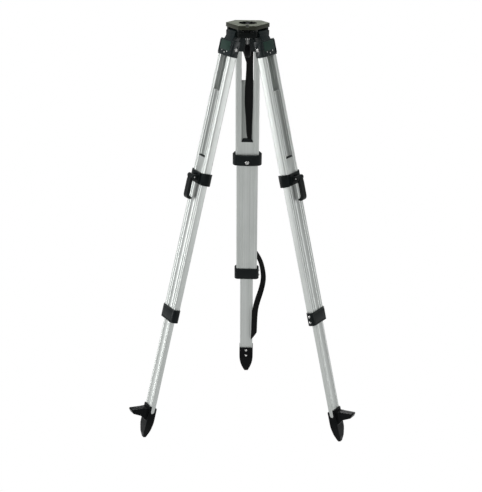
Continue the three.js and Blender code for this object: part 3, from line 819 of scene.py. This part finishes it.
def add_mouldings():
    shoulder = bevelled(leg_solid("shoulder"), 1.1 * MM, 3, 25)
    on_each_leg("shoulder_casting", shoulder, SHOULDER_BLACK, "upper", ["shoulder"], 40)
    collar = bevelled(crowned(leg_solid("clamp_collar"), "rear_clamp_collar", CLAMP_CROWN), 0.9 * MM, 3, 30)
    on_each_leg("clamp_housing", collar, COLLAR_BLACK, "upper", ["clamp_collar"], 40)
    lower = lower_housing()
    on_each_leg("lower_housing", lower, COLLAR_BLACK, "middle", ["lower_collar"], 40)
    lever = cast_surface(leg_solid("clamp_lever"), 0.7 * MM, 8, 0.5)
    on_each_leg("lever_arm", lever, LEVER_BLACK, "lever", ["clamp_lever"], 60)
    foot = cast_surface(leg_solid("foot"), 0.8 * MM, 7, 0.4)
    on_each_leg("foot_casting", foot, FOOT_BLACK, "lower", ["foot"], 50)
    shoe = bevelled(leg_solid("brake_shoe"), 0.6 * MM, 2)
    on_each_leg("brake_block", shoe, KNOB_BLACK, "shoe", ["brake_shoe"])


def add_shoulder_trim():
    """A blank inset panel on the shoulder's outer face, and three small rivets below it."""
    low, high = leg_box("rear_shoulder")
    face = high.y - 1.2 * MM
    half = (high - low).x / 2
    upright = Matrix.Rotation(-math.pi / 2, 4, "X")
    panel = bevelled(prism(rounded_rectangle(1.5 * half, 28 * MM, 2 * MM, 5), 0, 0.9 * MM), 0.3 * MM, 2)
    place = Matrix.Translation((0, face - 0.3 * MM, low.z + 30 * MM)) @ upright
    on_each_leg("shoulder_panel", moved(panel, place), PANEL_GREEN, "upper")
    for name, x, above in (("a", -16 * MM, 13.5 * MM), ("b", 0, 8.5 * MM), ("c", 16 * MM, 13.5 * MM)):
        rivet = screw_mesh(1.9 * MM, 1.2 * MM, 1 * MM, 1.2 * MM)
        rivet = moved(rivet, facing("y", 1, (x, face, low.z + above)))
        on_each_leg(f"shoulder_rivet_{name}", rivet, RIVET, "upper")


# ------------------------------------------------------------------ head

def grid_of_revolution(radius_at, heights, segments):
    """A closed body about z whose radius depends on the turn and the height."""
    bm = bmesh.new()
    rings = []
    for index, height in enumerate(heights):
        turns = [2 * math.pi * i / segments for i in range(segments)]
        radii = [radius_at(turn, index) for turn in turns]
        rings.append([bm.verts.new((r * math.cos(t), r * math.sin(t), height)) for r, t in zip(radii, turns)])
    for lower, upper in zip(rings, rings[1:]):
        for i in range(segments):
            k = (i + 1) % segments
            bm.faces.new((lower[i], lower[k], upper[k], upper[i]))
    bm.faces.new(list(reversed(rings[0])))
    bm.faces.new(rings[-1])
    return as_mesh(bm, "revolved")


def node_box(node):
    low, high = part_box(node)
    return Vector(low), Vector(high)


def add_fixing_screw():
    low, high = node_box("fixing_screw")
    outer = (high - low).x / 2
    stem, thread_length, pitch, depth = 4.5 * MM, 10.5 * MM, 2.1 * MM, 1.1 * MM
    bottom = high.z - thread_length
    count = 60
    heights = [bottom + thread_length * i / count for i in range(count + 1)]

    def radius_at(turn, index):
        phase = (heights[index] / pitch - turn / (2 * math.pi)) % 1.0
        ridge = 1 - abs(2 * phase - 1)
        ends = min(1.0, index / 4, (count - index) / 5)
        return (outer - depth) + depth * min(1.0, 1.25 * ridge) * ends

    thread = grid_of_revolution(radius_at, heights, 56)
    shaft = lathe([(0, low.z), (stem - 0.6 * MM, low.z), (stem, low.z + 0.6 * MM), (stem, bottom - 1.5 * MM),
                   (outer - depth, bottom + 0.2 * MM), (0, bottom + 0.2 * MM)], 48)
    screw = joined(thread, shaft)
    screw = piece("fixing_screw_thread", screw, STEEL, "screw", ["fixing_screw"])
    screw.data.materials.append(DARK_STEEL)
    for face in screw.data.polygons:
        face.material_index = int(face.center.z > bottom)


def add_knob():
    low, high = node_box("screw_knob")
    outer = (high - low).x / 2
    height = (high - low).z
    flutes, flute_depth = 8, 1.7 * MM
    share = [0, 0, 0.03, 0.08, 0.14, 0.2, 0.3, 0.5, 0.7, 0.8, 0.86, 0.91, 0.95, 0.98, 1.0, 1.0]
    radius = [0.12, 0.5, 0.62, 0.8, 0.92, 0.98, 1.0, 1.0, 1.0, 0.98, 0.92, 0.84, 0.76, 0.7, 0.66, 0.5]
    heights = [low.z + height * s for s in share]
    heights[0] = low.z + 1.0 * MM

    def radius_at(turn, index):
        wave = max(0.0, math.cos(flutes * turn)) ** 1.5
        fade_in = min(1.0, max(0.0, 6 * (share[index] - 0.05)))
        strength = fade_in * min(1.0, max(0.0, 8 * (0.97 - share[index])))
        return outer * radius[index] - flute_depth * wave * strength

    body = grid_of_revolution(radius_at, heights, 128)
    bore = cylinder(4.8 * MM, 50 * MM, (0, 0, high.z + 25 * MM - 24.5 * MM), "z")
    piece("knob_grip", boolean(body, bore), KNOB_BLACK, "screw", ["screw_knob"], smooth=50)


def add_head():
    """The head casting, turned bright on its plate and black below."""
    casting = bevelled(cad_solid("head_casting"), 0.9 * MM, 3, 30)
    obj = piece("head_body", casting, HEAD_METAL, "head", ["head_casting"], smooth=40)
    obj.data.materials.append(HEAD_BLACK)
    obj.data.materials.append(HEAD_RIM_ENAMEL_AND_SHADE)
    plate_bottom = -12.2 * MM
    for face in obj.data.polygons:
        centre = face.center
        inside_bore = math.hypot(centre.x, centre.y) < 34 * MM and centre.z < -1.5 * MM
        if centre.z < plate_bottom or inside_bore:
            face.material_index = 1
        # Sides of the plate take the dark olive, partly painted shade
        elif face.normal.z < 0.4:
            face.material_index = 2
    arm = bevelled(cad_solid("swing_arm"), 0.6 * MM, 2)
    piece("arm_plate", arm, FOOT_BLACK, "arm", ["swing_arm"])
    slider = bevelled(cad_solid("arm_slider"), 0.3 * MM, 2)
    piece("slider_bush", slider, STEEL, "slider", ["arm_slider"], smooth=40)
    washer = bevelled(cad_solid("lift_washer"), 0.3 * MM, 2)
    piece("lift_ring", washer, KNOB_BLACK, "lifter", ["lift_washer"], smooth=40)
    low, high = node_box("arm_pivot_screw")
    top = high.z - 2.6 * MM
    screw = screw_mesh(5.2 * MM, 2.6 * MM, 3 * MM, 20 * MM, "hex")
    place = Matrix.Translation((0, (low.y + high.y) / 2, top))
    piece("arm_pivot_head", moved(screw, place), DARK_STEEL, "head", ["arm_pivot_screw"])


# ------------------------------------------------------------------ webbing

def spline(points, share):
    """A point a share of the way along a Catmull-Rom curve."""
    count = len(points) - 1
    place = min(count - 1e-6, max(0.0, share * count))
    i = int(place)
    t = place - i
    p0, p1, p2, p3 = (Vector(points[min(count, max(0, k))]) for k in (i - 1, i, i + 1, i + 2))
    square = 2 * p0 - 5 * p1 + 4 * p2 - p3
    cube = 3 * p1 - p0 - 3 * p2 + p3
    return 0.5 * (2 * p1 + (p2 - p0) * t + square * t ** 2 + cube * t ** 3)


def ribbon(name, edges_at, thickness, steps, across=10):
    """A closed strip of webbing between two edges, with rolled selvedges and a UV along it for the weave."""
    bm = bmesh.new()
    uv = bm.loops.layers.uv.new("weave")
    rows, lengths, length, last = [], [], 0.0, None
    for i in range(steps + 1):
        left, right, out = edges_at(i / steps)
        centre = (left + right) / 2
        length += (centre - last).length if last is not None else 0.0
        last = centre
        lengths.append(length)
        row = []
        for side in (1, -1):
            for j in range(across + 1):
                share = j / across if side > 0 else 1 - j / across
                edge = min(1.0, 6 * min(share, 1 - share) + 0.45)
                row.append(left.lerp(right, share) + out * (side * thickness / 2 * edge))
        rows.append([bm.verts.new(p) for p in row])
    count = len(rows[0])
    widths = [(edges_at(i / steps)[0] - edges_at(i / steps)[1]).length for i in range(steps + 1)]
    for i in range(steps):
        for j in range(count):
            k = (j + 1) % count
            face = bm.faces.new((rows[i][j], rows[i][k], rows[i + 1][k], rows[i + 1][j]))
            for loop, (r, c) in zip(face.loops, ((i, j), (i, j + 1), (i + 1, j + 1), (i + 1, j))):
                place = c if c <= across else 2 * across + 1 - c
                loop[uv].uv = (lengths[r], widths[r] * max(0, place) / across)
    bm.faces.new(list(reversed(rows[0])))
    bm.faces.new(rows[-1])
    return as_mesh(bm, name)


def add_tie_strap():
    """The tie strap in the rear window: it drifts in width and turns edge-on at its foot."""
    low, high = leg_box("tie_strap")
    y = (low.y + high.y) / 2
    left_edge = [(60, -7), (110, -4.5), (160, -6.5), (197, -8.5)]
    left_edge += [(241, -9), (299, -5), (343, -3), (371, 2)]
    right_edge = [(60, 17.5), (110, 17), (160, 17.5), (197, 17)]
    right_edge += [(241, 17), (299, 15.5), (343, 14.5), (371, 13.5)]
    left_points = [(x * MM, 0, -down * MM) for down, x in left_edge]
    right_points = [(x * MM, 0, -down * MM) for down, x in right_edge]

    def edges_at(share):
        left, right = spline(left_points, share), spline(right_points, share)
        ripple = 0.9 * MM * math.sin(9 * share) * math.sin(math.pi * share)
        left.y, right.y = y - 0.5 * ripple, y - 0.6 * MM + ripple
        return left, right, Vector((0, 1, 0))

    mesh = ribbon("tie_strap_webbing", edges_at, 1.4 * MM, 70)
    piece("tie_strap_webbing", mesh, WEBBING, "rear_upper", ["tie_strap"], LEG["rear"], 60)

    def fold_at(share):
        z = -(58 + 42 * share) * MM
        slant = 12 * MM * share
        left, right = Vector((-17 * MM + slant, y - 1.7 * MM, z)), Vector((15 * MM, y - 1.7 * MM, z))
        return left, right, Vector((0, 1, 0))

    mesh = ribbon("tie_strap_fold", fold_at, 1.4 * MM, 8)
    piece("tie_strap_fold", mesh, WEBBING, "rear_upper", (), LEG["rear"], 60)


CARRY_PATH = [(14, 14, 782), (32, 15, 812), (47, 14, 845), (55, 9, 880), (56.5, 4, 912), (50, -3, 947)]
CARRY_PATH += [(39, -10, 985), (31.5, -13, 1020), (28.5, -13.5, 1062), (27.5, -13.5, 1105), (26, -13, 1150)]


def carry_edges(share):
    """Edges of the carrying strap: edge-on at the top, turning to face inward, its end cut on the slant."""
    leg_y = middle(leg_box("rear_middle_tube")).y
    points = [(x * MM, leg_y + y * MM, -down * MM) for x, y, down in CARRY_PATH]
    centre = spline(points, share)
    ahead = spline(points, min(1.0, share + 0.01)) - spline(points, max(0.0, share - 0.01))
    ahead.normalize()
    facing_turn = math.radians(25 + 60 * min(1.0, share / 0.55))
    across = Vector((math.sin(facing_turn), math.cos(facing_turn), 0))
    across = (across - ahead * across.dot(ahead)).normalized()
    half = (8.5 + 1.5 * min(1.0, share / 0.6)) * MM
    cut_back = 1.9 * max(0.0, (share - 0.93) / 0.07)
    left = centre - across * half
    right = centre + across * half * (1 - cut_back)
    return left, right, ahead.cross(across).normalized()


def add_carry_strap():
    mesh = ribbon("carry_strap_webbing", carry_edges, 2.0 * MM, 110)
    mesh.transform(LEG["rear"])
    obj = bpy.data.objects.new("carry_strap_webbing", mesh)
    mesh.materials.append(WEBBING)
    bpy.context.scene.collection.objects.link(obj)
    smooth_by_angle(obj, 60)
    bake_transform(obj)
    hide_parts("carry_strap")


add_tubes()
add_window_inserts()
add_mouldings()
add_shoulder_trim()
add_fasteners()
add_pins()
add_head()
add_fixing_screw()
add_knob()
add_tie_strap()
add_carry_strap()


# ------------------------------------------------------------------ stage, light and camera

def stage_material(name, tint, glow):
    """Matt paper that glows a little as polished pieces mirror it."""
    recipe = Recipe(name)
    fibre = recipe.noise(recipe.coordinates(), 3.0, 4.0)
    base = recipe.blend(recipe.span(fibre, 0.0, 0.15), tint, tuple(0.97 * c for c in tint))
    rays = recipe.add("ShaderNodeLightPath")
    mirrored = recipe.maths("MULTIPLY", rays.outputs["Is Glossy Ray"], glow)
    recipe.link(mirrored, recipe.shader.inputs["Emission Strength"])
    recipe.shader.inputs["Emission Color"].default_value = (1, 1, 1, 1)
    return recipe.surface(base, 0.95, specular=0.0)


STUDIO_FILL = 0.27


def add_floor():
    """A pale round floor that lights the object from below, hidden from the camera so it covers no foot."""
    level, radius, corners = CAD_BOX[0].z, 9.0, 96
    bm = bmesh.new()
    rim = [math.tau * i / corners for i in range(corners)]
    bm.faces.new([bm.verts.new((radius * math.cos(a), radius * math.sin(a), level)) for a in rim])
    floor = bpy.data.objects.new("floor", as_mesh(bm, "floor"))
    floor.data.materials.append(stage_material("pale_floor", (0.42, 0.42, 0.42), 0.32))
    floor.visible_camera = False
    bpy.context.scene.collection.objects.link(floor)


def add_light(name, place, target, size, power):
    data = bpy.data.lights.new(name, "AREA")
    data.shape = "RECTANGLE"
    data.size, data.size_y = size
    data.energy = power
    light = bpy.data.objects.new(name, data)
    light.location = place
    light.rotation_euler = (Vector(target) - Vector(place)).to_track_quat("-Z", "Y").to_euler()
    bpy.context.scene.collection.objects.link(light)


def add_world():
    """White behind the object; for light and reflections, a dim, even studio."""
    world = bpy.data.worlds.new("studio")
    bpy.context.scene.world = world
    world.use_nodes = True
    nodes, links = world.node_tree.nodes, world.node_tree.links
    backdrop = nodes["Background"]
    backdrop.inputs["Strength"].default_value = 1.0
    studio = nodes.new("ShaderNodeBackground")
    studio.inputs["Strength"].default_value = STUDIO_FILL
    rays = nodes.new("ShaderNodeLightPath")
    mix = nodes.new("ShaderNodeMixShader")
    links.new(rays.outputs["Is Camera Ray"], mix.inputs["Fac"])
    links.new(studio.outputs[0], mix.inputs[1])
    links.new(backdrop.outputs[0], mix.inputs[2])
    links.new(mix.outputs[0], nodes["World Output"].inputs["Surface"])
    backdrop.inputs["Color"].default_value = (1, 1, 1, 1)
    studio.inputs["Color"].default_value = (0.97, 1.0, 0.985, 1)


def add_lights():
    add_world()
    target = (0, 0, -0.6)
    add_light("left_softbox", (-3.3, -0.9, 0.1), target, (1.0, 2.8), 72)
    add_light("right_softbox", (3.1, -1.3, -0.4), target, (0.8, 2.8), 38)
    add_light("front_softbox", (-1.1, -3.8, 1.2), target, (0.7, 0.7), 20)
    add_light("top_softbox", (0.0, 0.3, 2.4), target, (1.8, 1.4), 42)
    add_light("back_softbox", (0.5, 3.8, -0.7), target, (2.0, 1.0), 30)


def add_camera():
    """The viewpoint of the photograph, which is 482 wide and 492 high."""
    distance, side, height = 3.919, -0.010, 0.614
    yaw, pitch, roll = math.radians(1.40), math.radians(18.70), math.radians(0.61)
    data = bpy.data.cameras.new("camera")
    data.sensor_width = 36.0
    data.lens = 95.912
    data.shift_x, data.shift_y = -0.002, 0.0063
    data.clip_end = 60
    camera = bpy.data.objects.new("camera", data)
    around = Matrix.Rotation(yaw, 4, "Z")
    tilt = Matrix.Rotation(math.pi / 2 - pitch, 4, "X")
    place = Matrix.Translation((side, -distance, height))
    camera.matrix_world = around @ place @ tilt @ Matrix.Rotation(roll, 4, "Z")
    bpy.context.scene.collection.objects.link(camera)
    bpy.context.scene.camera = camera


add_floor()
add_lights()
add_camera()
bpy.context.scene.view_settings.view_transform = "Standard"
